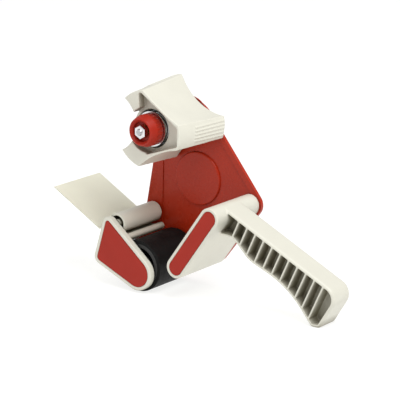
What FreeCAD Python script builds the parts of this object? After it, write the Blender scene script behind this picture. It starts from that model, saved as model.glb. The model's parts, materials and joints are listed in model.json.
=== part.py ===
"""Hand-held packing tape dispenser, pistol grip, for 50 mm tape on a 76 mm core.

The pieces are laid out from the hub's axis: x runs from the flap towards the grip, z up, and
depth is how far a point stands in front of the side plate's front face, towards -Y.
Every piece is then moved by the same stand_x, stand_y and stand_z, which put the origin on the
ground under the middle of the whole dispenser.
"""
import FreeCAD, Part
import math
import os
import re
import Sketcher

DIMENSIONS = {
    # main sizes
    "core_diameter": 76.0, "frame_depth": 58.0, "plate_thickness": 3.5, "grip_reach": 100.0,
    "run_clearance": 0.05, "seat_clearance": 0.02, "end_clearance": 0.8, "wall": 2.5,
    "near_edge_r": 0.7, "inset_edge": 0.4,
    "stand_x": 0.0, "stand_y": 0.0, "stand_z": 0.0,
    # side plate: centres and radii of its rounded corners, and of its pressed-in field
    "plate_top_x": -2.8, "plate_top_z": -13.1, "plate_top_r": 30.0,
    "plate_left_x": -46.5, "plate_left_z": -115.5, "plate_left_r": 6.5,
    "plate_base_r": 14.0, "plate_base_rise": 1.5,
    "notch_right": 5.0, "notch_drop": 11.0, "notch_r": 6.5,
    "plate_margin": 1.8, "field_depth": 0.8, "field_left_x": -21.5, "field_left_z": -92.0,
    "field_left_r": 8.5, "field_margin": 5.0, "field_base_left": 10.0, "field_base_up": 4.0,
    "disc_x": 8.3, "disc_z": -51.0, "disc_r": 23.0, "disc_clearance": 0.5, "disc_edge": 1.2,
    "seat_margin": 2.0,
    # hub, bolt and brake
    "hub_gap": 1.5, "hub_taper": 4.4, "lobe_back_half": 9.5, "lobe_front_half": 10.5,
    "lobe_turn": 115.65, "waist_back_r": 18.6, "waist_left_r": 11.5, "waist_base_r": 21.5,
    "waist_top_r": 23.6, "hub_wall": 2.0, "flange_margin": 1.0,
    "hub_floor": 3.0, "recess_r": 16.0, "recess_depth": 21.0, "boss_wall": 3.0,
    "dish_depth": 8.0, "dish_r": 2.0, "dish_rim": 4.0, "dish_foot_z": -18.0, "dish_left_x": -5.0,
    "core_wall": 4.5, "nut_room_r": 8.0, "nut_room_depth": 5.0, "bush_r": 5.0,
    "grip_rib_r": 0.9, "grip_rib_step": 4.8, "grip_rib_end": 38.0, "grip_rib_proud": 0.7,
    "bolt_r": 3.0, "bolt_head_r": 6.0, "bolt_head_height": 2.0, "nut_flats": 10.0,
    "plate_nut_height": 4.0, "nut_turn": 30.0, "nut_chamfer": 0.5, "end_nut_height": 4.5, "bolt_end": 1.2,
    "felt_inner_r": 9.5, "felt_outer_r": 17.0, "felt_clearance": 0.1,
    "washer_thickness": 1.6, "washer_gap": 0.8, "washer_bore_gap": 1.0, "thrust_gap": 1.4,
    "spring_in": 3.4, "spring_wire_r": 0.9, "spring_turns": 3.5, "spring_room": 12.0,
    "spring_clearance": 0.1,
    # brake knob
    "knob_gap": 2.6, "knob_length": 15.1, "knob_rear_length": 8.0, "knob_taper": 1.8,
    "knob_wall": 3.2, "knob_dish": 2.4, "knob_recess_depth": 6.0, "knob_edge": 1.2, "flute_r": 1.1,
    "flute_sink": 0.5, "insert_r": 5.0, "nut_travel": 1.7,
    # front housing: cheek, tie bar, flap wall and blade wall
    "cheek_thickness": 6.0, "cheek_top_left": 5.0, "cheek_top_up": 0.2, "cheek_top_r": 5.6,
    "cheek_left_x": -51.0, "cheek_left_z": -116.5, "cheek_left_r": 6.5,
    "cheek_base_x": -12.5, "cheek_base_z": -123.7, "cheek_base_r": 15.0,
    "rim_width": 3.0, "inset_depth": 1.8, "inset_clearance": 0.15, "inset_thickness": 1.6,
    "tie_gap": 1.5, "tie_angle": 128.0, "tie_r": 3.2, "web_r": 1.6,
    "boss_right": 3.2, "boss_drop": 9.5, "screw_boss_r": 3.2, "screw_boss_length": 12.0,
    "blade_wall_in": 0.3, "blade_wall_foot": -113.0,
    # flap
    "flap_angle": 29.6, "flap_left": 13.76, "flap_drop": 5.85, "flap_length": 57.8,
    "flap_thickness": 0.9, "flap_side_gap": 0.75, "flap_slit": 0.3,
    "flap_held": 9.5, "held_gap": 1.0, "clamp_thickness": 1.2,
    "rivet_r": 1.2, "rivet_along": 6.8, "rivet_head_r": 1.9, "rivet_head": 0.8, "rivet_inset": 17.0,
    # blade
    "blade_thickness": 1.0, "blade_top": -105.6, "blade_tip": -120.3, "tooth_pitch": 2.5,
    "tooth_height": 2.0, "blade_screw_z": -109.0, "blade_screw_r": 1.5, "blade_screw_head": 2.8,
    "blade_screw_length": 2.6, "blade_inset": 13.0, "blade_end_gap": 1.0,
    # drum and guide roller
    "drum_x": -14.15, "drum_z": -119.1, "drum_r": 21.8, "sleeve_thickness": 3.0, "rim_thickness": 3.0,
    "web_thickness": 3.0, "core_hub_r": 7.5, "bush_outer_r": 4.8, "bush_length": 7.0,
    "drum_gap": 2.2, "drum_axle_r": 3.0, "axle_head_r": 4.6, "axle_head": 1.6, "axle_seat": 2.4,
    "roller_tie_gap": 2.2, "roller_angle": 120.6, "roller_r": 8.5, "roller_wall": 1.8,
    "roller_hub_r": 3.4, "roller_gap": 2.0, "pin_r": 1.25, "pin_head_r": 2.4,
    # handle: bracket and grip in one moulding
    "bracket_top_x": 62.5, "bracket_top_z": -64.7, "bracket_r": 9.0, "bracket_gap": 0.7,
    "bracket_turn": 14.6, "slot_rim": 2.6, "slot_depth": 1.8, "near_wall": 4.0,
    "grip_set_back": 14.0, "grip_width": 26.0, "grip_wall": 2.5, "grip_web": 2.0,
    "rib_thickness": 1.5, "rib_pitch": 9.05, "rib_start": 18.5, "rib_angle": 25.0,
    "rib_reach": 65.0, "rib_drop": 75.0, "rib_overrun": 1.0, "grip_edge": 3.0, "far_edge": 5.0,
    "butt_drop": 50.8, "butt_top_r": 11.5, "butt_base_back": 4.5, "toe_back": 8.5, "butt_r": 4.0,
    "palm_r": 83.0, "palm_margin": 0.9, "bump_out": 43.4, "bump_drop": 10.8, "bump_r": 26.0,
    "crook_out": 10.0, "crook_drop": 25.3, "crook_r": 8.0,
    "root_in": 5.5, "root_drop": 11.3, "root_r": 4.0,
    # screws that hold the plate
    "screw_r": 1.5, "screw_head_r": 3.0, "screw_head": 1.6, "screw_length": 14.0,
    # backstop beside the drum
    "stop_gap": 4.0, "stop_rise": 4.6, "stop_drop": 5.1, "stop_half": 2.0, "stop_r": 1.8,
    "stop_depth": 12.0, "leaf_r": 0.3, "leaf_gap": 3.7, "leaf_angle": 27.0, "leaf_inset": 1.0,
}

LOBES = 3
RIBS_PER_LOBE = 5
FLUTES = 20
NUT_CORNERS = 6
SAME_DEPTH = 0.01
FORWARD = FreeCAD.Rotation(FreeCAD.Vector(1, 0, 0), 90)
CENTRE = 3
START = 1
END = 2

# A sketch distance can't be zero, so the hub's axis is drawn this near to the sketch's origin.
HUB_AXIS = ("0.0001", "0.0001")

# Places that follow from the drum: the tie bar, the guide roller, the flap's hinge line, the
# blade wall, the backstop and the bracket.
DRUM = ("drum_x", "drum_z")
TIE_REACH = "(drum_r + tie_gap + tie_r)"
TIE = (f"(drum_x + {TIE_REACH} * cos(tie_angle))", f"(drum_z + {TIE_REACH} * sin(tie_angle))")
ROLLER_REACH = "(tie_r + roller_tie_gap + roller_r)"
ROLLER = (f"({TIE[0]} + {ROLLER_REACH} * cos(roller_angle))",
          f"({TIE[1]} + {ROLLER_REACH} * sin(roller_angle))")
FLAP_HINGE = (f"({ROLLER[0]} - flap_left)", f"({ROLLER[1]} - flap_drop)")
BLADE_WALL_X = f"({FLAP_HINGE[0]} + blade_wall_in)"
STOP_X = "(drum_x + drum_r + stop_gap + stop_half + stop_r)"
STOP_TOP = "(drum_z + stop_rise)"
STOP_BASE = "(drum_z - stop_drop)"
BASE_REACH = "(stop_r + bracket_gap + bracket_r)"
BRACKET_TOP = ("bracket_top_x", "bracket_top_z")
BRACKET_BASE = (f"({STOP_X} + stop_half + {BASE_REACH} * cos(bracket_turn))",
                f"({STOP_TOP} + {BASE_REACH} * sin(bracket_turn))")

# Depths that follow from the frame's depth.
CHEEK_BACK = "(frame_depth - cheek_thickness)"
DISC_HEIGHT = "(hub_gap - disc_clearance)"

doc = FreeCAD.newDocument("tape_dispenser")
sheet = doc.addObject("Spreadsheet::Sheet", "dims")
pieces = []


def fill_sheet():
    """Write each driving size to the sheet and give its cell an alias."""
    for row, (alias, size) in enumerate(DIMENSIONS.items(), start=1):
        sheet.set(f"A{row}", alias)
        sheet.set(f"B{row}", str(size))
        sheet.setAlias(f"B{row}", alias)
    doc.recompute()


def bound(text):
    """Put the sheet's name before each alias in an expression."""
    def name(word):
        return "dims." + word.group(0) if word.group(0) in DIMENSIONS else word.group(0)
    return re.sub(r"[a-z][a-z_]*", name, text)


def size(text):
    """Work out an expression of sheet aliases as a plain number."""
    return float(sheet.evalExpression(bound(text)))


def minus(text):
    return f"-({text})"


# ---- sketches -------------------------------------------------------------------------------

def origin_plane(body, role):
    return next(item for item in body.Origin.OriginFeatures if item.Role == role)


def new_sketch(body, name, start="0", role="XZ_Plane"):
    """Add a sketch on one of the body's origin planes, start millimetres along its normal."""
    sketch = body.newObject("Sketcher::SketchObject", name)
    sketch.AttachmentSupport = [(origin_plane(body, role), "")]
    sketch.MapMode = "FlatFace"
    sketch.AttachmentOffset = FreeCAD.Placement(FreeCAD.Vector(0, 0, size(start)), FreeCAD.Rotation())
    sketch.setExpression("AttachmentOffset.Base.z", bound(start))
    return sketch


def tie(sketch, kind, places, text):
    """Add a dimension to the sketch and bind it to the sheet."""
    index = sketch.addConstraint(Sketcher.Constraint(kind, *places, size(text)))
    sketch.setExpression(f"Constraints[{index}]", bound(text))


def tie_point(sketch, geometry, place, x_text, y_text):
    tie(sketch, "DistanceX", (-1, 1, geometry, place), x_text)
    tie(sketch, "DistanceY", (-1, 1, geometry, place), y_text)


def tangent_normal(one, two):
    """Direction from each centre to where the belt's straight run leaves one and meets two."""
    along = (two[0] - one[0], two[1] - one[1])
    reach = math.hypot(*along)
    lean = (one[2] - two[2]) / reach
    side = math.sqrt(1 - lean * lean)
    unit = (along[0] / reach, along[1] / reach)
    return (unit[0] * lean + unit[1] * side, unit[1] * lean - unit[0] * side)


def belt(circles, inset="0"):
    """Draw a belt that runs counter-clockwise round the circles, each (x, z, radius).

    A circle with a negative radius bends the belt the other way, for a hollow.
    """
    def draw(sketch):
        texts = [(x, z, f"{r}-({inset})") for x, z, r in circles]
        rounds = [tuple(size(text) for text in circle) for circle in texts]
        count = len(rounds)
        normals = [tangent_normal(rounds[i], rounds[(i + 1) % count]) for i in range(count)]
        for i, (x, z, radius) in enumerate(rounds):
            following = rounds[(i + 1) % count]
            sign = math.copysign(1, radius)
            first = math.atan2(sign * normals[i - 1][1], sign * normals[i - 1][0])
            last = math.atan2(sign * normals[i][1], sign * normals[i][0])
            if radius < 0:
                first, last = last, first
            circle = Part.Circle(FreeCAD.Vector(x, z, 0), FreeCAD.Vector(0, 0, 1), abs(radius))
            sketch.addGeometry(Part.ArcOfCircle(circle, first, last), False)
            leave = FreeCAD.Vector(x + radius * normals[i][0], z + radius * normals[i][1], 0)
            meet = FreeCAD.Vector(following[0] + following[2] * normals[i][0],
                                  following[1] + following[2] * normals[i][1], 0)
            sketch.addGeometry(Part.LineSegment(leave, meet), False)
        for i, (x, z, radius) in enumerate(texts):
            arc, line = 2 * i, 2 * i + 1
            next_arc = 2 * ((i + 1) % count)
            out_end = END if rounds[i][2] > 0 else START
            in_end = START if rounds[(i + 1) % count][2] > 0 else END
            sketch.addConstraint(Sketcher.Constraint("Tangent", arc, out_end, line, START))
            sketch.addConstraint(Sketcher.Constraint("Tangent", line, END, next_arc, in_end))
            tie(sketch, "Radius", (arc,), radius if rounds[i][2] > 0 else minus(radius))
            tie_point(sketch, arc, CENTRE, x, z)
    return draw


def polygon(points):
    """Draw a closed outline of straight lines through the points."""
    def draw(sketch):
        corners = [FreeCAD.Vector(size(x), size(y), 0) for x, y in points]
        for i, corner in enumerate(corners):
            sketch.addGeometry(Part.LineSegment(corner, corners[(i + 1) % len(corners)]), False)
        for i, (x, y) in enumerate(points):
            following = (i + 1) % len(points)
            sketch.addConstraint(Sketcher.Constraint("Coincident", i, END, following, START))
            tie_point(sketch, i, START, x, y)
    return draw


def rounds(circles):
    """Draw separate full circles, each (x, z, radius)."""
    def draw(sketch):
        for i, (x, z, radius) in enumerate(circles):
            middle = FreeCAD.Vector(size(x), size(z), 0)
            circle = Part.Circle(middle, FreeCAD.Vector(0, 0, 1), size(radius))
            sketch.addGeometry(circle, False)
            tie(sketch, "Radius", (i,), radius)
            tie_point(sketch, i, CENTRE, x, z)
    return draw


# ---- features -------------------------------------------------------------------------------

def place(piece, x="0", z="0", depth="0"):
    """Move a piece from the hub's axis to the frame that stands on the ground."""
    piece.setExpression("Placement.Base.x", bound(f"stand_x + {x}"))
    piece.setExpression("Placement.Base.y", bound(f"stand_y - ({depth})"))
    piece.setExpression("Placement.Base.z", bound(f"stand_z + {z}"))


def lean(piece, angle):
    """Turn a piece about an axis along Y, by an angle from the sheet."""
    turn = FreeCAD.Rotation(FreeCAD.Vector(0, 1, 0), size(angle))
    piece.Placement = FreeCAD.Placement(FreeCAD.Vector(), turn)
    piece.setExpression("Placement.Rotation.Angle", bound(angle))


def new_body(name, x="0", z="0"):
    body = doc.addObject("PartDesign::Body", name)
    body.Label = name
    place(body, x, z)
    return body


def keep(piece):
    """List a finished piece, to be checked and written under its label."""
    doc.recompute()
    pieces.append(piece)
    return piece


def swell(body, name, kind, draw, start, length, grows, role="XZ_Plane"):
    """Pad or pocket an outline from start, forwards by length, and check that the volume follows."""
    doc.recompute()
    before = body.Shape.Volume if body.Tip else 0
    sketch = new_sketch(body, name + "_outline", start, role)
    draw(sketch)
    feature = body.newObject(kind, name)
    feature.Profile = sketch
    feature.Length = size(length)
    feature.setExpression("Length", bound(length))
    feature.Reversed = not grows
    doc.recompute()
    change = body.Shape.Volume - before
    if (change > 0) != grows:
        raise ValueError(f"{body.Label} {name} changed its volume by {change:.2f}")
    return feature


def pad(body, name, draw, start, length, role="XZ_Plane"):
    return swell(body, name, "PartDesign::Pad", draw, start, length, True, role)


def pocket(body, name, draw, start, length, role="XZ_Plane"):
    return swell(body, name, "PartDesign::Pocket", draw, start, length, False, role)


def loft(body, name, kind, sections):
    """Loft between outlines, each (draw, start)."""
    sketches = []
    for i, (draw, start) in enumerate(sections):
        sketch = new_sketch(body, f"{name}_outline{i}", start)
        draw(sketch)
        sketches.append(sketch)
    feature = body.newObject(kind, name)
    feature.Profile = sketches[0]
    feature.Sections = sketches[1:]
    feature.Ruled = True
    return feature


def edges_at(shape, depth, test=None):
    """Name the edges that lie flat at one depth, and pass the test if one is given."""
    level = -size(depth)
    names = []
    for i, edge in enumerate(shape.Edges, start=1):
        box = edge.BoundBox
        flat = max(abs(box.YMin - level), abs(box.YMax - level)) < SAME_DEPTH
        if flat and (test is None or test(edge)):
            names.append(f"Edge{i}")
    return names


def soften(body, name, radius, picks, kind="PartDesign::Fillet"):
    """Round the edges at the listed depths, each (depth, test)."""
    doc.recompute()
    base = body.Tip
    names = []
    for depth, test in picks:
        names += edges_at(base.Shape, depth, test)
    feature = body.newObject(kind, name)
    feature.Base = (base, names)
    if kind.endswith("Fillet"):
        feature.Radius = size(radius)
        feature.setExpression("Radius", bound(radius))
    else:
        feature.Size = size(radius)
        feature.setExpression("Size", bound(radius))
    doc.recompute()
    return feature


def turned(name, profile, x="0", z="0"):
    """Turn a profile of (radius, depth) points about an axis along Y through x, z."""
    body = new_body(name, x, z)
    sketch = new_sketch(body, name + "_profile", "0", "XY_Plane")
    polygon([(radius, minus(depth)) for radius, depth in profile])(sketch)
    feature = body.newObject("PartDesign::Revolution", name + "_turn")
    feature.Profile = sketch
    feature.ReferenceAxis = (sketch, ["V_Axis"])
    feature.Angle = 360
    return body


def ring(name, inner, outer, start, end, x="0", z="0"):
    return turned(name, [(inner, start), (outer, start), (outer, end), (inner, end)], x, z)


def hexagon(flats):
    step = 360 // NUT_CORNERS
    reach = f"({flats}) / 2 / cos({step // 2})"
    turns = [f"({step * corner} + nut_turn)" for corner in range(NUT_CORNERS)]
    return polygon([(f"{reach} * cos({turn})", f"{reach} * sin({turn})") for turn in turns])


def group(name, members):
    """Keep several like pieces as one node of separate solids."""
    compound = doc.addObject("Part::Compound", name)
    compound.Label = name
    compound.Links = members
    return keep(compound)


# ---- side plate -----------------------------------------------------------------------------

PLATE = [
    (*BRACKET_TOP, "bracket_r + plate_margin"),
    ("plate_top_x", "plate_top_z", "plate_top_r"),
    ("plate_left_x", "plate_left_z", "plate_left_r"),
    ("cheek_base_x", "cheek_base_z", "plate_base_r"),
    (f"{STOP_X} + notch_right", f"{STOP_TOP} - notch_drop", "-notch_r"),
    (BRACKET_BASE[0], f"{BRACKET_BASE[1]} + plate_base_rise",
     "bracket_r + plate_margin - plate_base_rise"),
]
FIELD = [
    (*BRACKET_TOP, "bracket_r + plate_margin - field_margin"),
    ("plate_top_x", "plate_top_z", "plate_top_r - field_margin"),
    ("field_left_x", "field_left_z", "field_left_r"),
    (f"{BRACKET_BASE[0]} - field_base_left", f"{BRACKET_BASE[1]} + field_base_up",
     "bracket_r + plate_margin - field_margin"),
]
SCREW_BOSS = (f"({BLADE_WALL_X} + boss_right)", f"({FLAP_HINGE[1]} - boss_drop)")
SCREWS = [BRACKET_TOP, BRACKET_BASE, TIE, SCREW_BOSS]


def make_side_plate():
    body = new_body("side_plate")
    pad(body, "sheet", belt(PLATE), "-plate_thickness", "plate_thickness")
    soften(body, "back_edge", "disc_edge / 2", [("-plate_thickness", None)])
    pocket(body, "field", belt(FIELD), "-field_depth", "field_depth")
    pad(body, "disc", rounds([("disc_x", "disc_z", "disc_r")]), "-field_depth",
        f"{DISC_HEIGHT} + field_depth")
    soften(body, "disc_round", "disc_edge", [(DISC_HEIGHT, None)])
    pad(body, "hub_seat", rounds([(*HUB_AXIS, "felt_outer_r + seat_margin")]),
        "-field_depth", "field_depth")
    holes = [(*HUB_AXIS, "bolt_r + seat_clearance"),
             (*DRUM, "drum_axle_r + seat_clearance"),
             (*ROLLER, "pin_r + seat_clearance")]
    holes += [(x, z, "screw_r + seat_clearance") for x, z in SCREWS]
    pocket(body, "holes", rounds(holes), "-plate_thickness", f"plate_thickness + {DISC_HEIGHT}")
    heads = [(*HUB_AXIS, "bolt_head_r + seat_clearance", "bolt_head_height"),
             (*DRUM, "axle_head_r + seat_clearance", "axle_head"),
             (*ROLLER, "pin_head_r + seat_clearance", "axle_head")]
    heads += [(x, z, "screw_head_r + seat_clearance", "screw_head") for x, z in SCREWS]
    for i, (x, z, radius, depth) in enumerate(heads):
        pocket(body, f"head_seat{i}", rounds([(x, z, radius)]), "-plate_thickness", depth)
    return keep(body)


# ---- hub, bolt and brake --------------------------------------------------------------------

def hub_outline(lobe_r, half, waists, inset):
    """Draw the three-lobed section: lobe faces about the axis, hollow flanks between them.

    The waists say how near each flank comes to the axis: the left one, the lower and the upper.
    """
    outer = f"({lobe_r} - ({inset}))"
    reach = f"sqrt({outer}^2 - ({half} - ({inset}))^2)"
    across = f"({half} - ({inset}))"
    step = 360 // LOBES

    def corner(turn, side):
        angle = f"(lobe_turn + {turn})"
        x = f"{reach} * cos({angle}) - ({side} * {across}) * sin({angle})"
        y = f"{reach} * sin({angle}) + ({side} * {across}) * cos({angle})"
        return x, y

    def waist(lobe):
        angle = f"(lobe_turn + {lobe * step + step // 2})"
        reach = f"({waists[lobe]} - ({inset}))"
        return f"{reach} * cos({angle})", f"{reach} * sin({angle})"

    def draw(sketch):
        for i in range(LOBES):
            start, end = corner(i * step, -1), corner(i * step, 1)
            following = corner((i + 1) * step, -1)
            middle = waist(i)
            dots = [FreeCAD.Vector(size(x), size(y), 0) for x, y in (start, end, following, middle)]
            low = math.atan2(dots[0].y, dots[0].x)
            high = math.atan2(dots[1].y, dots[1].x)
            face = Part.Circle(FreeCAD.Vector(), FreeCAD.Vector(0, 0, 1), size(outer))
            sketch.addGeometry(Part.ArcOfCircle(face, low, high), False)
            sketch.addGeometry(Part.Arc(dots[1], dots[3], dots[2]), False)
        for i in range(LOBES):
            face, flank = 2 * i, 2 * i + 1
            next_face = 2 * ((i + 1) % LOBES)
            sketch.addConstraint(Sketcher.Constraint("Coincident", face, CENTRE, -1, 1))
            tie(sketch, "Radius", (face,), outer)
            sketch.addConstraint(Sketcher.Constraint("Coincident", face, END, flank, END))
            sketch.addConstraint(Sketcher.Constraint("Coincident", flank, START, next_face, START))
        for i in range(LOBES):
            bottom = waist(i)
            spot = FreeCAD.Vector(size(bottom[0]), size(bottom[1]), 0)
            marker = sketch.addGeometry(Part.Point(spot), True)
            tie_point(sketch, marker, START, *bottom)
            sketch.addConstraint(Sketcher.Constraint("PointOnObject", marker, START, 2 * i + 1))
            tie(sketch, "DistanceX", (-1, 1, 2 * i, START), corner(i * step, -1)[0])
            tie(sketch, "DistanceX", (-1, 1, 2 * i, END), corner(i * step, 1)[0])
    return draw


HUB_BACK_R = "(core_diameter / 2 - grip_rib_proud)"
HUB_FRONT_R = f"({HUB_BACK_R} - hub_taper)"
WAISTS = ("waist_left_r", "waist_base_r", "waist_top_r")
DISH_FLOOR = "(frame_depth - dish_depth)"
HOLLOW_END = f"({DISH_FLOOR} - hub_floor)"
RECESS_FLOOR = "(frame_depth - recess_depth)"
SPRING_START = f"({RECESS_FLOOR} + washer_thickness)"
THRUST_START = f"({SPRING_START} + spring_room)"
KNOB_START = f"({THRUST_START} + washer_thickness)"
KNOB_END = f"({KNOB_START} + knob_length)"
KNOB_FLOOR = f"({KNOB_END} - knob_recess_depth)"
NUT_START = f"({KNOB_FLOOR} + nut_travel)"
KNOB_REAR_R = "(recess_r - knob_gap)"
KNOB_FRONT_R = f"({KNOB_REAR_R} - knob_taper)"
KNOB_RECESS_R = f"({KNOB_FRONT_R} - knob_wall)"


def lobe_strip(turn, half, inner, outer):
    """Draw a strip that runs outwards from the hub's axis along one lobe."""
    angle = f"(lobe_turn + {turn})"

    def corner(reach, side):
        x = f"{reach} * cos({angle}) - ({side} * {half}) * sin({angle})"
        y = f"{reach} * sin({angle}) + ({side} * {half}) * cos({angle})"
        return x, y
    return polygon([corner(inner, -1), corner(outer, -1), corner(outer, 1), corner(inner, 1)])


def along_hub(back, front, depth):
    """A size that changes evenly from the hub's back to its front, at one depth."""
    return f"({back} + ({front} - {back}) * ({depth} - hub_gap) / (frame_depth - hub_gap))"


def hub_section(depth, inset):
    """The three-lobed outline at one depth, and that depth."""
    waists = [along_hub("waist_back_r", waist, depth) for waist in WAISTS]
    half = along_hub("lobe_back_half", "lobe_front_half", depth)
    return hub_outline(along_hub(HUB_BACK_R, HUB_FRONT_R, depth), half, waists, inset), depth


def hub_dish():
    """Draw the shallow dish in the hub's front, from the upper lobe round to the right-hand one."""
    upper = f"(lobe_turn - {360 // (2 * LOBES)})"
    lobe = f"(lobe_turn - {360 // LOBES})"
    reach = f"({HUB_FRONT_R} - dish_rim)"
    flank = "(waist_top_r - dish_rim)"
    away = f"sqrt({reach}^2 - {flank}^2)"
    top = (f"{flank} * cos({upper}) - {away} * sin({upper})",
           f"{flank} * sin({upper}) + {away} * cos({upper})", "dish_r")
    right = (f"{flank} * cos({upper}) + {away} * sin({upper})",
             f"{flank} * sin({upper}) - {away} * cos({upper})", "dish_r")
    low = (f"{reach} * cos({lobe}) + (lobe_front_half - dish_rim) * sin({lobe})",
           f"{reach} * sin({lobe}) - (lobe_front_half - dish_rim) * cos({lobe})", "dish_r")
    foot = (HUB_AXIS[0], "dish_foot_z", "dish_r")
    return belt([right, top, ("dish_left_x", HUB_AXIS[1], "dish_r"), foot, low])


def grip_rib_ends(turn):
    """Two round sections of a low rib along a lobe's face, from the hub's back forwards."""
    ends = []
    for depth in ("(hub_gap + grip_rib_r)", "grip_rib_end"):
        face = along_hub(HUB_BACK_R, HUB_FRONT_R, depth)
        reach = f"({face} + grip_rib_proud - grip_rib_r)"
        dot = (f"{reach} * cos({turn})", f"{reach} * sin({turn})", "grip_rib_r")
        ends.append((rounds([dot]), depth))
    return ends


def make_tape_hub():
    """Tapered shell, closed in front and open at the back, about a tube for the bush."""
    body = new_body("tape_hub")
    shell = [hub_section("hub_gap", "0"), hub_section("frame_depth", "0")]
    loft(body, "shell", "PartDesign::AdditiveLoft", shell)
    hollow = [hub_section("hub_gap", "hub_wall"), hub_section(HOLLOW_END, "hub_wall")]
    loft(body, "hollow", "PartDesign::SubtractiveLoft", hollow)
    for i in range(LOBES):
        turn = i * 360 // LOBES
        strips = []
        for depth in ("hub_gap", HOLLOW_END):
            reach = f"({along_hub(HUB_BACK_R, HUB_FRONT_R, depth)} - hub_wall / 2)"
            strips.append((lobe_strip(turn, "hub_wall / 2", "bush_r", reach), depth))
        loft(body, f"web{i}", "PartDesign::AdditiveLoft", strips)
        for j in range(RIBS_PER_LOBE):
            spread = f"(lobe_turn + {turn} + {j - RIBS_PER_LOBE // 2} * grip_rib_step)"
            loft(body, f"grip_rib{i}{j}", "PartDesign::AdditiveLoft", grip_rib_ends(spread))
    core_length = f"{RECESS_FLOOR} - hub_gap"
    boss = rounds([(*HUB_AXIS, "recess_r + boss_wall")])
    pad(body, "flange", rounds([(*HUB_AXIS, "felt_outer_r + flange_margin")]), "hub_gap", "hub_floor")
    pad(body, "core", rounds([(*HUB_AXIS, "bush_r + core_wall")]), "hub_gap", core_length)
    pad(body, "boss", boss, f"{RECESS_FLOOR} - hub_floor", "hub_floor + recess_depth - dish_depth")
    pocket(body, "dish", hub_dish(), DISH_FLOOR, "dish_depth")
    pocket(body, "boss_front", boss, DISH_FLOOR, "dish_depth")
    pocket(body, "recess", rounds([(*HUB_AXIS, "recess_r")]), RECESS_FLOOR, "recess_depth")
    pocket(body, "bore", rounds([(*HUB_AXIS, "bush_r")]), "hub_gap", core_length)
    pocket(body, "nut_room", rounds([(*HUB_AXIS, "nut_room_r")]), "hub_gap", "nut_room_depth")
    return keep(body)


def make_hub_bolt():
    head = "(bolt_head_height - plate_thickness)"
    profile = [("0", "-plate_thickness"), ("bolt_head_r", "-plate_thickness"),
               ("bolt_head_r", head), ("bolt_r", head), ("bolt_r", f"{NUT_START} + end_nut_height"),
               ("bolt_r - bolt_end / 2", f"{NUT_START} + end_nut_height + bolt_end"),
               ("0", f"{NUT_START} + end_nut_height + bolt_end")]
    return keep(turned("hub_bolt", profile))


def make_nut(name, start, height):
    body = new_body(name)
    pad(body, "prism", hexagon("nut_flats"), start, height)
    pocket(body, "thread", rounds([(*HUB_AXIS, "bolt_r + seat_clearance")]), start, height)
    outer_edges = [(f"{start} + {height}", lambda edge: len(edge.Vertexes) == 2)]
    soften(body, "chamfer", "nut_chamfer", outer_edges, "PartDesign::Chamfer")
    return keep(body)


def make_spring():
    """Coil spring: a round wire along a helix about the hub's axis."""
    body = new_body("brake_spring")
    sketch = new_sketch(body, "wire", "0", "XY_Plane")
    first = f"-({SPRING_START} + spring_clearance + spring_wire_r)"
    rounds([("recess_r - spring_in", first, "spring_wire_r")])(sketch)
    coil = body.newObject("PartDesign::AdditiveHelix", "coil")
    coil.Profile = sketch
    coil.ReferenceAxis = (sketch, ["V_Axis"])
    coil.Mode = "height-turns-angle"
    rise = "spring_room - 2 * spring_clearance - 2 * spring_wire_r"
    coil.Height = size(rise)
    coil.setExpression("Height", bound(rise))
    coil.Turns = size("spring_turns")
    coil.setExpression("Turns", bound("spring_turns"))
    coil.Reversed = True
    return keep(body)


def make_brake_knob():
    shoulder = f"({KNOB_START} + knob_rear_length)"
    profile = [("insert_r", KNOB_START), (f"{KNOB_REAR_R} - knob_edge", KNOB_START),
               (KNOB_REAR_R, f"{KNOB_START} + knob_edge"), (KNOB_REAR_R, shoulder),
               (KNOB_FRONT_R, f"{KNOB_END} - knob_edge"),
               (f"{KNOB_FRONT_R} - knob_edge", KNOB_END),
               (KNOB_RECESS_R, f"{KNOB_END} - knob_dish"),
               (KNOB_RECESS_R, KNOB_FLOOR), ("insert_r", KNOB_FLOOR)]
    body = turned("brake_knob", profile)
    flute = rounds([(f"({KNOB_REAR_R} + flute_r - flute_sink)", HUB_AXIS[1], "flute_r")])
    cut = pocket(body, "flute", flute, KNOB_START, "knob_rear_length")
    pattern = body.newObject("PartDesign::PolarPattern", "flutes")
    pattern.Originals = [cut]
    pattern.Axis = (origin_plane(body, "Y_Axis"), [""])
    pattern.Angle = 360
    pattern.Occurrences = FLUTES
    body.Tip = pattern
    return keep(body)


def make_brake():
    bore = "bolt_r + run_clearance"
    keep(ring("friction_washer", "felt_inner_r", "felt_outer_r", "0", "hub_gap - felt_clearance"))
    keep(ring("hub_bush", bore, "bush_r", "hub_gap + nut_room_depth", RECESS_FLOOR))
    keep(ring("pressure_washer", "bolt_r + washer_bore_gap", "recess_r - washer_gap",
              RECESS_FLOOR, SPRING_START))
    keep(ring("thrust_washer", bore, "recess_r - thrust_gap", THRUST_START, KNOB_START))
    keep(ring("knob_insert", bore, "insert_r", KNOB_START, KNOB_FLOOR))
    make_spring()
    make_brake_knob()


# ---- front housing, flap and blade ----------------------------------------------------------

CHEEK = [
    (f"{ROLLER[0]} - cheek_top_left", f"{ROLLER[1]} + cheek_top_up", "cheek_top_r"),
    ("cheek_left_x", "cheek_left_z", "cheek_left_r"),
    ("cheek_base_x", "cheek_base_z", "cheek_base_r"),
]
FLAP_WIDTH = "(frame_depth + plate_thickness - 2 * flap_side_gap)"
RIVET_DEPTHS = ["rivet_inset", f"({CHEEK_BACK} - rivet_inset)"]
UNDER_FLAP = "-(flap_thickness / 2 + web_r)"
BLADE_BACK = f"({BLADE_WALL_X} + web_r)"
BLADE_SPAN = f"({CHEEK_BACK} - 2 * blade_end_gap)"
BLADE_SCREW_DEPTHS = ["blade_inset", f"({CHEEK_BACK} - blade_inset)"]


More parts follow.
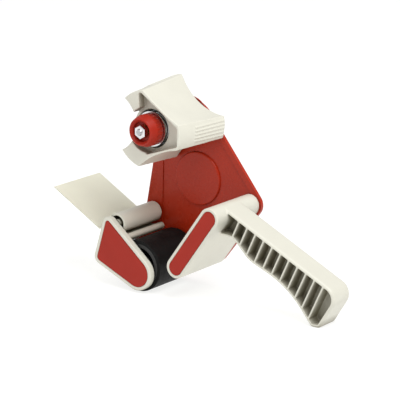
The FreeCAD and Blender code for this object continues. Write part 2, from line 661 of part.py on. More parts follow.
def by_flap(along, above, radius):
    """A circle placed from the flap's hinge line: along the flap inwards, and above its middle."""
    x = f"{FLAP_HINGE[0]} + ({along}) * cos(flap_angle) + ({above}) * sin(flap_angle)"
    z = f"{FLAP_HINGE[1]} - ({along}) * sin(flap_angle) + ({above}) * cos(flap_angle)"
    return x, z, radius


def flap_strip(name, from_along, to_along, above, thickness, start, width):
    """A flat strip with rounded edges, parallel to the flap."""
    body = new_body(name)
    ends = [by_flap(along, above, f"{thickness} / 2") for along in (from_along, to_along)]
    pad(body, "strip", belt(ends), start, width)
    return body


def rivet_holes(name):
    """Cylinders across the flap's held edge, one for each rivet's shank, as a cutting tool."""
    radius = "rivet_r + seat_clearance"
    tool = doc.addObject("Part::Compound", name)
    tool.Links = [across_flap(f"{name}{i}", depth, "-flap_held", "2 * flap_held", radius)
                  for i, depth in enumerate(RIVET_DEPTHS)]
    return tool


def across_flap(name, depth, low, height, radius):
    """A cylinder square to the flap, through the middle of its held edge."""
    rod = doc.addObject("Part::Cylinder", name)
    rod.setExpression("Radius", bound(radius))
    rod.setExpression("Height", bound(height))
    lean(rod, "flap_angle")
    x, z, _ = by_flap("rivet_along", low, "0")
    place(rod, x, z, depth)
    return rod


def cut_from(name, base, tool):
    """Cut a tool from a piece, and keep the result under the piece's name."""
    base.Label = name + "_uncut"
    result = doc.addObject("Part::Cut", name + "_cut")
    result.Base = base
    result.Tool = tool
    result.Label = name
    return keep(result)


def make_front_housing():
    body = new_body("front_housing")
    pad(body, "cheek", belt(CHEEK), CHEEK_BACK, "cheek_thickness")
    soften(body, "near_edge", "near_edge_r", [("frame_depth", None)])
    pocket(body, "inset_seat", belt(CHEEK, "rim_width"), "frame_depth - inset_depth", "inset_depth")
    pad(body, "tie_bar", rounds([(*TIE, "tie_r")]), "0", CHEEK_BACK)
    wall_near = by_flap("web_r", UNDER_FLAP, "web_r")
    wall_far = by_flap("flap_held + 2 * web_r", UNDER_FLAP, "web_r")
    pad(body, "flap_wall", belt([wall_near, wall_far]), "0", CHEEK_BACK)
    pad(body, "tie_web", belt([wall_far, (*TIE, "web_r")]), "0", CHEEK_BACK)
    blade_wall = [(BLADE_WALL_X, f"{FLAP_HINGE[1]} - 2 * web_r", "web_r"),
                  (BLADE_WALL_X, "blade_wall_foot", "web_r")]
    pad(body, "blade_wall", belt(blade_wall), "0", CHEEK_BACK)
    pad(body, "screw_boss", rounds([(*SCREW_BOSS, "screw_boss_r")]), "0", "screw_boss_length")
    holes = [(*place, "screw_r + seat_clearance") for place in (TIE, SCREW_BOSS)]
    pocket(body, "screw_holes", rounds(holes), "0", "screw_length - plate_thickness")
    seats = [(*DRUM, "drum_axle_r + seat_clearance"), (*ROLLER, "pin_r + seat_clearance")]
    pocket(body, "axle_seats", rounds(seats), CHEEK_BACK, "axle_seat")
    pocket(body, "blade_pilots", blade_holes, f"{BLADE_BACK} - blade_screw_length",
           "blade_screw_length", "YZ_Plane")
    cut_from("front_housing", body, rivet_holes("housing_rivet_holes"))
    keep(inset_panel("cheek_inset", CHEEK, "rim_width", "inset_depth"))


def blade_holes(sketch):
    """Draw the blade's two screw holes, on a plane square to x."""
    places = [(minus(depth), "blade_screw_z") for depth in BLADE_SCREW_DEPTHS]
    rounds([(*place, "blade_screw_r + seat_clearance") for place in places])(sketch)


def inset_panel(name, outline, rim, seat_depth):
    """A thin panel that fills the shallow seat inside a rim."""
    body = new_body(name)
    start = f"frame_depth - {seat_depth}"
    pad(body, "panel", belt(outline, f"{rim} + inset_clearance"), start, "inset_thickness")
    soften(body, "panel_edge", "inset_edge", [(f"{start} + inset_thickness", None)])
    return body


def make_flap():
    """The sheet's free part, its held edge, and the clamp and rivets that hold it."""
    keep(flap_strip("flap", "-(flap_slit + flap_thickness / 2)", "-(flap_length - flap_thickness / 2)",
                    "0", "flap_thickness", "flap_side_gap - plate_thickness", FLAP_WIDTH))
    held_width = f"{CHEEK_BACK} - 2 * held_gap"
    held = flap_strip("flap_held_edge", "flap_thickness / 2", "flap_held - flap_thickness / 2", "0",
                      "flap_thickness", "held_gap", held_width)
    cut_from("flap_held_edge", held, rivet_holes("held_rivet_holes"))
    clamp = flap_strip("flap_clamp", "clamp_thickness / 2", "flap_held - clamp_thickness / 2",
                       "(flap_thickness + clamp_thickness) / 2", "clamp_thickness",
                       "held_gap", held_width)
    cut_from("flap_clamp", clamp, rivet_holes("clamp_rivet_holes"))
    rivets = []
    for i, depth in enumerate(RIVET_DEPTHS):
        low = "-(flap_thickness / 2 + 2 * web_r)"
        high = "(flap_thickness / 2 + clamp_thickness)"
        shank = across_flap(f"rivet_shank{i}", depth, low, f"{high} - {low}", "rivet_r")
        head = across_flap(f"rivet_head{i}", depth, high, "rivet_head", "rivet_head_r")
        tail = across_flap(f"rivet_tail{i}", depth, f"{low} - rivet_head", "rivet_head", "rivet_head_r")
        rivet = doc.addObject("Part::MultiFuse", f"flap_rivet{i}")
        rivet.Shapes = [shank, head, tail]
        rivets.append(rivet)
    group("flap_rivets", rivets)


def make_blade():
    """Serrated strip: straight at the top, a row of equal teeth along its foot."""
    teeth = int(size(BLADE_SPAN) / size("tooth_pitch"))
    near = f"-({CHEEK_BACK} - blade_end_gap)"
    points = [("-blade_end_gap", "blade_top"), (near, "blade_top")]
    for i in range(2 * teeth + 1):
        level = "blade_tip" if i % 2 else "blade_tip + tooth_height"
        points.append((f"{near} + {BLADE_SPAN} * {i} / {2 * teeth}", level))
    body = new_body("blade")
    pad(body, "strip", polygon(points), BLADE_BACK, "blade_thickness", "YZ_Plane")
    pocket(body, "holes", blade_holes, BLADE_BACK, "blade_thickness", "YZ_Plane")
    keep(body)
    screws = []
    for i, depth in enumerate(BLADE_SCREW_DEPTHS):
        screw = new_body(f"blade_screw{i}")
        axis = (minus(depth), "blade_screw_z")
        pad(screw, "shank", rounds([(*axis, "blade_screw_r")]), f"{BLADE_BACK} - blade_screw_length",
            "blade_screw_length + blade_thickness", "YZ_Plane")
        pad(screw, "head", rounds([(*axis, "blade_screw_head")]), f"{BLADE_BACK} + blade_thickness",
            "blade_screw_r", "YZ_Plane")
        screws.append(screw)
    group("blade_screws", screws)


# ---- drum and guide roller ------------------------------------------------------------------

TURNING_END = f"({CHEEK_BACK} - end_clearance)"


def axle(name, radius, head_r, x, z):
    """Rod from its head in the plate's back to its seat in the cheek."""
    end = f"{CHEEK_BACK} + axle_seat"
    profile = [("0", "-plate_thickness"), (head_r, "-plate_thickness"),
               (head_r, "axle_head - plate_thickness"), (radius, "axle_head - plate_thickness"),
               (radius, end), ("0", end)]
    return keep(turned(name, profile, x, z))


def spool(name, bore, hub_r, rim_inner, rim_outer, start, end, x, z):
    """Rim and hub as long as each other, with one disc between them half way along."""
    web_start = f"(({start} + {end}) / 2 - web_thickness / 2)"
    web_end = f"(({start} + {end}) / 2 + web_thickness / 2)"
    profile = [(bore, start), (hub_r, start), (hub_r, web_start), (rim_inner, web_start),
               (rim_inner, start), (rim_outer, start), (rim_outer, end), (rim_inner, end),
               (rim_inner, web_end), (hub_r, web_end), (hub_r, end), (bore, end)]
    return keep(turned(name, profile, x, z))


def make_drum():
    axle("drum_axle", "drum_axle_r", "axle_head_r", *DRUM)
    core_r = "(drum_r - sleeve_thickness)"
    spool("drum_core", "bush_outer_r", "core_hub_r", f"{core_r} - rim_thickness", core_r,
          "drum_gap", TURNING_END, *DRUM)
    keep(ring("drum_sleeve", core_r, "drum_r", "drum_gap", TURNING_END, *DRUM))
    bore = "drum_axle_r + run_clearance"
    far = ring("bush_far", bore, "bush_outer_r", "drum_gap", "drum_gap + bush_length", *DRUM)
    near = ring("bush_near", bore, "bush_outer_r", f"{TURNING_END} - bush_length", TURNING_END, *DRUM)
    group("drum_bushes", [far, near])


def make_guide_roller():
    axle("roller_axle", "pin_r", "pin_head_r", *ROLLER)
    spool("guide_roller", "pin_r + run_clearance", "roller_hub_r", "roller_r - roller_wall",
          "roller_r", "roller_gap", TURNING_END, *ROLLER)


# ---- handle ---------------------------------------------------------------------------------

BRACKET = [(*BRACKET_TOP, "bracket_r"), (*BRACKET_BASE, "bracket_r")]
BUMP = ("(bracket_top_x + bump_out)", "(bracket_top_z - bump_drop)")
BUTT_X = "(bracket_top_x + grip_reach)"
TOE = (f"({BUTT_X} - toe_back)", "(drum_z - drum_r + butt_r)")


def meeting_point(one, two, one_reach, two_reach):
    """The point at these reaches from two others, on the left of the way from one to two."""
    across, up = f"({two[0]} - {one[0]})", f"({two[1]} - {one[1]})"
    apart = f"sqrt({across}^2 + {up}^2)"
    along = f"(({apart}^2 + ({one_reach})^2 - ({two_reach})^2) / (2 * {apart}))"
    aside = f"sqrt(({one_reach})^2 - {along}^2)"
    x = f"({one[0]} + ({along} * {across} - {aside} * {up}) / {apart})"
    z = f"({one[1]} + ({along} * {up} + {aside} * {across}) / {apart})"
    return x, z


PALM = meeting_point(TOE, BUMP, "palm_r + butt_r + palm_margin", "palm_r + bump_r + palm_margin")
GRIP = [
    (BUTT_X, "bracket_top_z - butt_drop", "butt_top_r"),
    (*BRACKET_TOP, "bracket_r"),
    ("bracket_top_x - root_in", "bracket_top_z - root_drop", "root_r"),
    ("bracket_top_x + crook_out", "bracket_top_z - crook_drop", "-crook_r"),
    (*BUMP, "bump_r"),
    (*PALM, "-palm_r"),
    (*TOE, "butt_r"),
    (f"{BUTT_X} - butt_base_back", TOE[1], "butt_r"),
]
GRIP_END = "(frame_depth - grip_set_back)"
GRIP_START = f"({GRIP_END} - grip_width)"
GRIP_TOP = "(bracket_top_x * cos(rib_angle) - bracket_top_z * sin(rib_angle))"
GRIP_BUTT = f"({BUTT_X} * cos(rib_angle) - (bracket_top_z - butt_drop) * sin(rib_angle))"


def grip_rib(index):
    """One cross rib, as a slab square to the grip's top."""
    slab = doc.addObject("Part::Box", f"grip_rib_slab{index}")
    slab.setExpression("Length", bound("rib_thickness"))
    slab.setExpression("Width", bound("grip_width + 2 * rib_overrun"))
    slab.setExpression("Height", bound("rib_reach"))
    lean(slab, "rib_angle")
    along = f"({GRIP_TOP} + rib_start + {index} * rib_pitch - rib_thickness / 2)"
    place(slab, f"{along} * cos(rib_angle) - rib_drop * sin(rib_angle)",
          f"(-{along} * sin(rib_angle) - rib_drop * cos(rib_angle))", f"{GRIP_END} + rib_overrun")
    return slab


def make_cell_tool():
    """The hollow between the grip's wall and its middle web, less the ribs and the bracket."""
    hollow = []
    half = "((grip_width - grip_web) / 2)"
    for name, start in (("near_cells", f"{GRIP_END} - {half}"), ("far_cells", GRIP_START)):
        body = new_body(name)
        pad(body, "hollow", belt(GRIP, "grip_wall"), start, half)
        hollow.append(body)
    cells = doc.addObject("Part::Compound", "both_cells")
    cells.Links = hollow
    bracket = new_body("bracket_keep")
    pad(bracket, "block", belt(BRACKET), "0", "frame_depth")
    solid = doc.addObject("Part::MultiFuse", "ribs_and_bracket")
    rib_count = 1 + int(size(f"({GRIP_BUTT} - {GRIP_TOP} - rib_start) / rib_pitch"))
    solid.Shapes = [bracket] + [grip_rib(i) for i in range(rib_count)]
    tool = doc.addObject("Part::Cut", "cell_tool")
    tool.Base = cells
    tool.Tool = solid
    return tool


def make_handle():
    body = new_body("handle")
    pad(body, "grip", belt(GRIP), GRIP_START, "grip_width")
    soften(body, "near_round", "grip_edge", [(GRIP_END, None)])
    soften(body, "far_round", "far_edge", [(GRIP_START, None)])
    pad(body, "bracket", belt(BRACKET), "0", "frame_depth")
    soften(body, "bracket_edge", "near_edge_r", [("frame_depth", None)])
    pocket(body, "slot", belt(BRACKET, "slot_rim"), "frame_depth - slot_depth", "slot_depth")
    pocket(body, "inside", belt(BRACKET, "wall"), "0", "frame_depth - near_wall")
    places = (BRACKET_TOP, BRACKET_BASE)
    bosses = [(*place, "screw_boss_r") for place in places]
    pad(body, "bosses", rounds(bosses), "0", "frame_depth - near_wall")
    holes = [(*place, "screw_r + seat_clearance") for place in places]
    pocket(body, "screw_holes", rounds(holes), "0", "screw_length - plate_thickness")
    cut_from("handle", body, make_cell_tool())
    keep(inset_panel("bracket_inset", BRACKET, "slot_rim", "slot_depth"))


# ---- screws and backstop --------------------------------------------------------------------

def make_frame_screws():
    """Cheese-head screws through the plate, their heads flush with its back."""
    screws = []
    for i, (x, z) in enumerate(SCREWS):
        seat = "(screw_head - plate_thickness)"
        tip = "screw_length - plate_thickness"
        profile = [("0", "-plate_thickness"), ("screw_head_r", "-plate_thickness"),
                   ("screw_head_r", seat), ("screw_r", seat), ("screw_r", tip), ("0", tip)]
        screws.append(turned(f"frame_screw{i}", profile, x, z))
    group("frame_screws", screws)


STOP = [
    (f"{STOP_X} + stop_half", STOP_TOP, "stop_r"),
    (f"{STOP_X} - stop_half", STOP_TOP, "stop_r"),
    (f"{STOP_X} - stop_half", STOP_BASE, "stop_r"),
    (f"{STOP_X} + stop_half", STOP_BASE, "stop_r"),
]


def leaf_outline(radius):
    """Draw the leaf spring, from the block's top corner towards the drum."""
    tip = ("drum_x + (drum_r + leaf_gap) * cos(leaf_angle)",
           "drum_z + (drum_r + leaf_gap) * sin(leaf_angle)")
    return belt([(f"{STOP_X} - stop_half", STOP_TOP, radius), (*tip, radius)])


def make_backstop():
    block = new_body("backstop_block")
    pad(block, "block", belt(STOP), "0", "stop_depth")
    pocket(block, "leaf_slit", leaf_outline("leaf_r + seat_clearance"), "0", "stop_depth")
    keep(block)
    leaf = new_body("backstop_spring")
    pad(leaf, "leaf", leaf_outline("leaf_r"), "leaf_inset", "stop_depth - 2 * leaf_inset")
    keep(leaf)


def stand_on_ground():
    """Put the origin on the ground, under the middle of everything that was kept."""
    doc.recompute()
    boxes = [piece.Shape.optimalBoundingBox(False) for piece in pieces]
    shift = {
        "stand_x": -(min(box.XMin for box in boxes) + max(box.XMax for box in boxes)) / 2,
        "stand_y": -(min(box.YMin for box in boxes) + max(box.YMax for box in boxes)) / 2,
        "stand_z": -min(box.ZMin for box in boxes),
    }
    for alias, distance in shift.items():
        sheet.set(sheet.getCellFromAlias(alias), f"{distance:.4f}")
        print(f"{alias} {distance:.4f}")


def check_and_write():
    """Refuse a failed object or a bad shape, then write each piece to its own file."""
    doc.recompute()
    for item in doc.Objects:
        if "Invalid" in item.State or "Error" in item.State:
            raise ValueError(f"{item.Label} did not build: {item.State}")
    os.makedirs("parts", exist_ok=True)
    for piece in pieces:
        if piece.Shape.isNull() or not piece.Shape.isValid():
            raise ValueError(f"{piece.Label} has a bad shape")
        piece.Shape.exportStep(f"parts/{piece.Label}.step")
        print(f"{piece.Label}: {piece.Shape.Volume / 1000:.2f} cm3, {len(piece.Shape.Solids)} solids")


def main():
    fill_sheet()
    make_side_plate()
    make_tape_hub()
    make_hub_bolt()
    make_nut("plate_nut", "0", "plate_nut_height")
    make_nut("end_nut", NUT_START, "end_nut_height")
    make_brake()
    make_front_housing()
    make_flap()
    make_blade()
    make_drum()
    make_guide_roller()
    make_handle()
    make_frame_screws()
    make_backstop()
    stand_on_ground()
    check_and_write()


main()
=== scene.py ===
"""Looks of a pistol-grip packing tape dispenser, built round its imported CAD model."""
import bpy
import json
import math
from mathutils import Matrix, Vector

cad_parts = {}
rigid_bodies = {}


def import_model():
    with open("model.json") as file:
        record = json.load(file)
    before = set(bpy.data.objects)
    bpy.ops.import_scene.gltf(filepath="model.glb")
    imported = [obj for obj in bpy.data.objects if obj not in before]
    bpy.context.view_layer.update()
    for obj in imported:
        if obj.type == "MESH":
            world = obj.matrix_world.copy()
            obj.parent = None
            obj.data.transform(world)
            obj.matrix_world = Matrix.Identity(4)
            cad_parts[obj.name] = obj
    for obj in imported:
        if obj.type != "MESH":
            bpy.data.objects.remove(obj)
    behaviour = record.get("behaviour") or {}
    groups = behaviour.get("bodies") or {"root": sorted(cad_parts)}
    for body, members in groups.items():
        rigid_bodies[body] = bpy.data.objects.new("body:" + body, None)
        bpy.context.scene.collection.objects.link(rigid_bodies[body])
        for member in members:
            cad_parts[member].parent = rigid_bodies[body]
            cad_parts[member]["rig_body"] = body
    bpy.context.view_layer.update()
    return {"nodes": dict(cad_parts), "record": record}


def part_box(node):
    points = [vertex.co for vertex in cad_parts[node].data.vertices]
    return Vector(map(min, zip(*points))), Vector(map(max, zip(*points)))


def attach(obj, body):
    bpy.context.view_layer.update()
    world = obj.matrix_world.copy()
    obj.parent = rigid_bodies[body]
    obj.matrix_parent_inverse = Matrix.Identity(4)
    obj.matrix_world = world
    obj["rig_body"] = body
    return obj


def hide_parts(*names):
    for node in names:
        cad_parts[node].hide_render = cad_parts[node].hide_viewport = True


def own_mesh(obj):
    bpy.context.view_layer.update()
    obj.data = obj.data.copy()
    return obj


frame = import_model()

# ---- places, all from the frame ---------------------------------------------------------------

BOLT_LOW, BOLT_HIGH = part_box("hub_bolt")
HUB_X = (BOLT_LOW.x + BOLT_HIGH.x) / 2
HUB_Z = (BOLT_LOW.z + BOLT_HIGH.z) / 2
PLATE_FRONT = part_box("friction_washer")[1].y


def at(x, depth, z):
    """A point from the hub's axis and the plate's front face, in the row frame."""
    return Vector((HUB_X + x, PLATE_FRONT - depth, HUB_Z + z))


# ---- materials --------------------------------------------------------------------------------

# The part of the noise's range that ramps and spreads are stretched over.
NOISE_LOW = 0.3
NOISE_HIGH = 0.7


def links(tree, *pairs):
    """Join each output socket to its input socket."""
    for out, into in pairs:
        tree.links.new(out, into)


def new_material(name, **sockets):
    """A Principled material with its constant sockets set, and its node tree, shader and place."""
    material = bpy.data.materials.new(name)
    material.use_nodes = True
    tree = material.node_tree
    shader = tree.nodes["Principled BSDF"]
    for socket, value in sockets.items():
        shader.inputs[socket.replace("_", " ")].default_value = value
    place = tree.nodes.new("ShaderNodeTexCoord").outputs["Object"]
    return material, tree, shader, place


def noise(tree, place, scale, detail=3.0, stretch=None):
    """Noise over the object's own coordinates, with scale in cycles a metre."""
    if stretch:
        mapping = tree.nodes.new("ShaderNodeMapping")
        mapping.inputs["Scale"].default_value = stretch
        tree.links.new(place, mapping.inputs["Vector"])
        place = mapping.outputs["Vector"]
    node = tree.nodes.new("ShaderNodeTexNoise")
    node.inputs["Scale"].default_value = scale
    node.inputs["Detail"].default_value = detail
    tree.links.new(place, node.inputs["Vector"])
    return node.outputs["Fac"]


def ramp(tree, factor, stops):
    """Colours along a factor, from two or more stops of position and colour."""
    node = tree.nodes.new("ShaderNodeValToRGB")
    elements = node.color_ramp.elements
    for element, (position, colour) in zip(elements, (stops[0], stops[-1])):
        element.position = position
        element.color = colour
    for position, colour in stops[1:-1]:
        elements.new(position).color = colour
    tree.links.new(factor, node.inputs["Fac"])
    return node.outputs["Color"]


def spread(tree, factor, low, high):
    """Map noise onto a range of plain values."""
    node = tree.nodes.new("ShaderNodeMapRange")
    node.inputs["From Min"].default_value = NOISE_LOW
    node.inputs["From Max"].default_value = NOISE_HIGH
    node.inputs["To Min"].default_value = low
    node.inputs["To Max"].default_value = high
    tree.links.new(factor, node.inputs["Value"])
    return node.outputs["Result"]


def bump(tree, shader, height, distance):
    """Relief from a height factor, with its depth in metres."""
    node = tree.nodes.new("ShaderNodeBump")
    node.inputs["Distance"].default_value = distance
    node.inputs["Strength"].default_value = 1.0
    tree.links.new(height, node.inputs["Height"])
    tree.links.new(node.outputs["Normal"], shader.inputs["Normal"])


def shade(colour, factor):
    """A colour made darker or lighter, with its alpha."""
    return (*[channel * factor for channel in colour], 1.0)


def mottled(tree, factor, colour, low, high):
    """A colour that noise takes from one shade of itself to another."""
    return ramp(tree, factor, [(NOISE_LOW, shade(colour, low)), (NOISE_HIGH, shade(colour, high))])


def plastic(name, colour, rough, grain, relief, mottle=0.05, **sockets):
    """Moulded plastic: soft mottling, uneven gloss and the fine grain of the mould."""
    material, tree, shader, place = new_material(name, **sockets)
    cloud = noise(tree, place, 45.0, 4.0)
    tint = mottled(tree, cloud, colour, 1 - mottle, 1 + mottle)
    gloss = spread(tree, noise(tree, place, 160.0), rough * 0.85, rough * 1.15)
    links(tree, (tint, shader.inputs["Base Color"]), (gloss, shader.inputs["Roughness"]))
    bump(tree, shader, noise(tree, place, grain, 2.0), relief)
    return material


# Painted shade for the hollows of mouldings: the warm dark colour painted into cells and corners, the
# occlusion levels it fades between, and how far the occlusion looks.
HOLLOW_PAINTED_SHADE = (0.30, 0.27, 0.20, 1.0)
OPEN = (1.0, 1.0, 1.0, 1.0)
HOLLOW_BELOW = 0.15
OPEN_ABOVE = 0.62
HOLLOW_REACH = 0.016


def paint_shade_in_hollows(material):
    """Paint shade into a moulding's colour in its cells and corners, darkening it where ambient
    occlusion finds the surface hemmed in.
    """
    tree = material.node_tree
    socket = tree.nodes["Principled BSDF"].inputs["Base Color"]
    tint = socket.links[0].from_socket
    openness = tree.nodes.new("ShaderNodeAmbientOcclusion")
    openness.inputs["Distance"].default_value = HOLLOW_REACH
    # Painted shade: the more occluded the spot, the more of the dark shade colour is painted in.
    painted_shade = ramp(tree, openness.outputs["AO"], [(HOLLOW_BELOW, HOLLOW_PAINTED_SHADE), (OPEN_ABOVE, OPEN)])
    mix = tree.nodes.new("ShaderNodeMixRGB")
    mix.blend_type = "MULTIPLY"
    mix.inputs["Fac"].default_value = 1.0
    links(tree, (tint, mix.inputs[1]), (painted_shade, mix.inputs[2]), (mix.outputs["Color"], socket))
    return material


def metal(name, colour, rough, brush, stretch):
    """Plated or turned metal: fine brush lines, uneven gloss and slight tarnish."""
    material, tree, shader, place = new_material(name, Metallic=1.0)
    cloud = noise(tree, place, 120.0, 4.0)
    tint = mottled(tree, cloud, colour, 0.88, 1.05)
    lines = noise(tree, place, brush, 2.0, stretch)
    gloss = spread(tree, lines, rough * 0.7, rough * 1.3)
    links(tree, (tint, shader.inputs["Base Color"]), (gloss, shader.inputs["Roughness"]))
    bump(tree, shader, lines, 0.00002)
    return material


def rubber(name, colour):
    """Matt press-drum rubber: ground across, with dust in the grain."""
    material, tree, shader, place = new_material(name, Specular_IOR_Level=0.12)
    cloud = noise(tree, place, 90.0, 5.0)
    tint = mottled(tree, cloud, colour, 0.7, 1.5)
    gloss = spread(tree, noise(tree, place, 300.0), 0.45, 0.65)
    links(tree, (tint, shader.inputs["Base Color"]), (gloss, shader.inputs["Roughness"]))
    bump(tree, shader, noise(tree, place, 1500.0, 3.0, (1.0, 0.15, 1.0)), 0.00006)
    return material


def felt(name, colour):
    """Pressed felt: matted fibres with a soft sheen."""
    material, tree, shader, place = new_material(name, Sheen_Weight=0.4, Roughness=0.95)
    fibres = noise(tree, place, 2500.0, 6.0)
    tint = mottled(tree, fibres, colour, 0.6, 1.3)
    links(tree, (tint, shader.inputs["Base Color"]))
    bump(tree, shader, fibres, 0.0003)
    return material


def milky_sheet(name, colour):
    """Translucent flexible sheet: milky, satin, with faint streaks along it."""
    material, tree, shader, place = new_material(name, IOR=1.46, Transmission_Weight=0.35)
    cloud = noise(tree, place, 30.0, 3.0)
    tint = mottled(tree, cloud, colour, 0.97, 1.02)
    streaks = noise(tree, place, 250.0, 2.0, (0.2, 1.0, 0.2))
    gloss = spread(tree, streaks, 0.42, 0.55)
    links(tree, (tint, shader.inputs["Base Color"]), (gloss, shader.inputs["Roughness"]))
    bump(tree, shader, streaks, 0.00004)
    return material


IVORY = (0.68, 0.665, 0.575)
SHELL_RED = (0.39, 0.024, 0.006)
PANEL_RED = (0.36, 0.017, 0.006)

MATERIALS = {
    "ivory_plastic": paint_shade_in_hollows(
        plastic("ivory plastic", IVORY, rough=0.38, grain=1800.0, relief=0.00003, mottle=0.02, IOR=1.5)),
    "red_shell": plastic("red shell", SHELL_RED, rough=0.28, grain=900.0, relief=0.00002,
                         mottle=0.03, Specular_IOR_Level=0.25),
    "red_panel": plastic("red panel", PANEL_RED, rough=0.42, grain=2200.0, relief=0.00004,
                         Specular_IOR_Level=0.25),
    "black_rubber": rubber("black rubber", (0.006, 0.006, 0.006)),
    "black_plastic": plastic("black plastic", (0.02, 0.02, 0.021), rough=0.45, grain=1600.0,
                             relief=0.00003),
    "steel": metal("zinc-plated steel", (0.50, 0.51, 0.52), rough=0.34, brush=700.0,
                   stretch=(1.0, 4.0, 1.0)),
    "bright_steel": metal("bright steel", (0.78, 0.78, 0.79), rough=0.20, brush=900.0,
                          stretch=(1.0, 6.0, 1.0)),
    "brass": metal("turned brass", (0.72, 0.50, 0.20), rough=0.28, brush=800.0,
                   stretch=(1.0, 8.0, 1.0)),
    "felt": felt("pressed felt", (0.25, 0.22, 0.18)),
    "flap_sheet": milky_sheet("milky sheet", (0.88, 0.86, 0.73)),
}


def dress_nodes():
    """Give each CAD node the finish of its material slot."""
    for part in frame["record"]["subparts"]:
        node = frame["nodes"][part["node"]]
        node.data.materials.clear()
        node.data.materials.append(MATERIALS[part["material_slot"]])


# ---- mouldings with soft edges ----------------------------------------------------------------

# Each softened node, and the edge of the cells in metres that its shape is rebuilt from.
SOFT_MOULDINGS = {"tape_hub": 0.0005, "front_housing": 0.0005, "handle": 0.0005, "brake_knob": 0.0003}
SMOOTH_PASSES = 4
FACES_KEPT = 0.35


def soften(node_name, voxel):
    """Stand in for a sharp-edged node with the softer shape that leaves a mould."""
    node = frame["nodes"][node_name]
    piece = bpy.data.objects.new(f"{node_name}_moulded", node.data.copy())
    bpy.context.collection.objects.link(piece)
    remesh = piece.modifiers.new("remesh", "REMESH")
    remesh.mode = "VOXEL"
    remesh.voxel_size = voxel
    smooth = piece.modifiers.new("smooth", "SMOOTH")
    smooth.iterations = SMOOTH_PASSES
    thin = piece.modifiers.new("thin", "DECIMATE")
    thin.ratio = FACES_KEPT
    depsgraph = bpy.context.evaluated_depsgraph_get()
    mesh = bpy.data.meshes.new_from_object(piece.evaluated_get(depsgraph))
    piece.modifiers.clear()
    piece.data = mesh
    mesh.shade_smooth()
    slot = next(part["material_slot"] for part in frame["record"]["subparts"]
                if part["node"] == node_name)
    mesh.materials.clear()
    mesh.materials.append(MATERIALS[slot])
    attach(piece, node["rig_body"])
    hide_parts(node_name)


# ---- the brake spring, which the brake squeezes ------------------------------------------------

SPRING_TURNS = 3.5
WIRE_RADIUS = 0.0009
STEPS_A_TURN = 48
WIRE_SIDES = 12


def make_spring():
    """A coil of round wire where the CAD spring is, riding with the hub."""
    low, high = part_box("brake_spring")
    coil_radius = (high.x - low.x) / 2 - WIRE_RADIUS
    first, last = high.y - WIRE_RADIUS, low.y + WIRE_RADIUS
    steps = int(SPRING_TURNS * STEPS_A_TURN)
    points = []
    for step in range(steps + 1):
        turn = math.tau * step / STEPS_A_TURN
        outwards = Vector((math.cos(turn), 0.0, math.sin(turn)))
        on_axis = Vector((HUB_X, first + (last - first) * step / steps, HUB_Z))
        middle = on_axis + outwards * coil_radius
        for side in range(WIRE_SIDES):
            round_wire = math.tau * side / WIRE_SIDES
            points.append(middle + outwards * (math.cos(round_wire) * WIRE_RADIUS)
                          + Vector((0.0, math.sin(round_wire) * WIRE_RADIUS, 0.0)))
    faces = [tuple(range(WIRE_SIDES)), tuple(reversed(range(steps * WIRE_SIDES, len(points))))]
    for step in range(steps):
        for side in range(WIRE_SIDES):
            here = step * WIRE_SIDES + side
            beside = step * WIRE_SIDES + (side + 1) % WIRE_SIDES
            faces.append((beside, here, here + WIRE_SIDES, beside + WIRE_SIDES))
    mesh = bpy.data.meshes.new("brake_spring_coil")
    mesh.from_pydata(points, [], faces)
    mesh.shade_smooth()
    mesh.materials.append(MATERIALS["bright_steel"])
    spring = bpy.data.objects.new("brake_spring_coil", mesh)
    bpy.context.collection.objects.link(spring)
    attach(spring, "hub")
    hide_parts("brake_spring")
    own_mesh(spring)


# ---- floor, light and camera ------------------------------------------------------------------

FLOOR_SIZE = 12.0
FLOOR_DARK = (0.30, 0.30, 0.30, 1.0)
FLOOR_PALE = (0.32, 0.32, 0.32, 1.0)
PAPER_WHITE = (1.0, 1.0, 0.985, 1.0)


def make_floor():
    """A plain pale floor that gives off some light of its own."""
    bpy.ops.mesh.primitive_plane_add(size=FLOOR_SIZE)
    floor = bpy.context.object
    floor.name = "floor"
    material, tree, shader, place = new_material("pale floor", Roughness=0.9, Specular_IOR_Level=0.1,
                                                 Emission_Color=PAPER_WHITE,
                                                 Emission_Strength=0.8)
    tint = ramp(tree, noise(tree, place, 3.0), [(NOISE_LOW, FLOOR_DARK), (NOISE_HIGH, FLOOR_PALE)])
    links(tree, (tint, shader.inputs["Base Color"]))
    floor.data.materials.append(material)


SEEN_STRENGTH = 1.02
LIGHTING_STRENGTH = 0.55


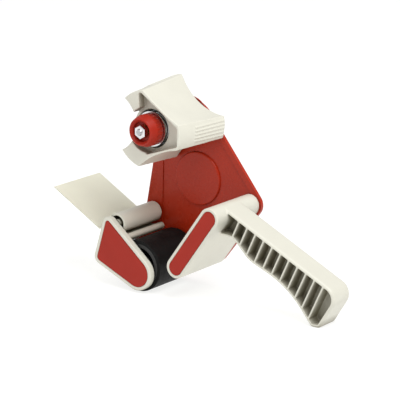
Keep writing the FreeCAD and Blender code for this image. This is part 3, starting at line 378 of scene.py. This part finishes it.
def make_world():
    """Near-white all round: brighter as the camera sees it than as it lights the object."""
    world = bpy.data.worlds.new("studio")
    bpy.context.scene.world = world
    world.use_nodes = True
    tree = world.node_tree
    seen = tree.nodes["Background"]
    seen.inputs["Color"].default_value = PAPER_WHITE
    seen.inputs["Strength"].default_value = SEEN_STRENGTH
    lighting = tree.nodes.new("ShaderNodeBackground")
    lighting.inputs["Color"].default_value = (1.0, 1.0, 1.0, 1.0)
    lighting.inputs["Strength"].default_value = LIGHTING_STRENGTH
    mix = tree.nodes.new("ShaderNodeMixShader")
    path = tree.nodes.new("ShaderNodeLightPath")
    links(tree,
          (path.outputs["Is Camera Ray"], mix.inputs["Fac"]),
          (lighting.outputs["Background"], mix.inputs[1]),
          (seen.outputs["Background"], mix.inputs[2]),
          (mix.outputs["Shader"], tree.nodes["World Output"].inputs["Surface"]))


def area_light(name, where, target, width, height, power):
    """A rectangular light that faces the target, with its sizes in metres and power in watts."""
    data = bpy.data.lights.new(name, "AREA")
    data.shape = "RECTANGLE"
    data.size = width
    data.size_y = height
    data.energy = power
    light = bpy.data.objects.new(name, data)
    bpy.context.collection.objects.link(light)
    light.location = where
    light.rotation_euler = (target - where).to_track_quat("-Z", "Y").to_euler()


CAMERA_AIM = at(0.01746, 0.00929, -0.06626)
CAMERA_AZIMUTH = math.radians(36.98)
CAMERA_ELEVATION = math.radians(15.14)
CAMERA_DISTANCE = 1.658
CAMERA_LENS = 179.06


def away(azimuth, elevation):
    """Unit direction from the object, with azimuth 0 on the -Y side and turning towards +X."""
    flat = math.cos(elevation)
    return Vector((math.sin(azimuth) * flat, -math.cos(azimuth) * flat, math.sin(elevation)))


def make_camera():
    """The photo's view: a long lens from the front right, a little above."""
    camera = bpy.data.objects.new("camera", bpy.data.cameras.new("camera"))
    bpy.context.collection.objects.link(camera)
    direction = away(CAMERA_AZIMUTH, CAMERA_ELEVATION)
    camera.location = CAMERA_AIM + direction * CAMERA_DISTANCE
    camera.rotation_euler = (-direction).to_track_quat("-Z", "Y").to_euler()
    camera.data.lens = CAMERA_LENS
    camera.data.sensor_width = 36.0
    camera.data.clip_start = 0.05
    bpy.context.scene.camera = camera


# Each light's azimuth and elevation in degrees, distance, width, height and power.
LIGHTS = {
    "key": (70, 60, 1.3, 0.9, 0.9, 14.0),
    "fill": (-50, 25, 1.5, 1.0, 0.8, 2.0),
}


def make_lights():
    """Area lights that all face the point the camera aims at."""
    for name, (azimuth, elevation, distance, width, height, power) in LIGHTS.items():
        direction = away(math.radians(azimuth), math.radians(elevation))
        area_light(name, CAMERA_AIM + direction * distance, CAMERA_AIM, width, height, power)


dress_nodes()
for name, voxel in SOFT_MOULDINGS.items():
    soften(name, voxel)
make_spring()
make_floor()
make_world()
make_camera()
make_lights()
bpy.context.scene.view_settings.view_transform = "Standard"
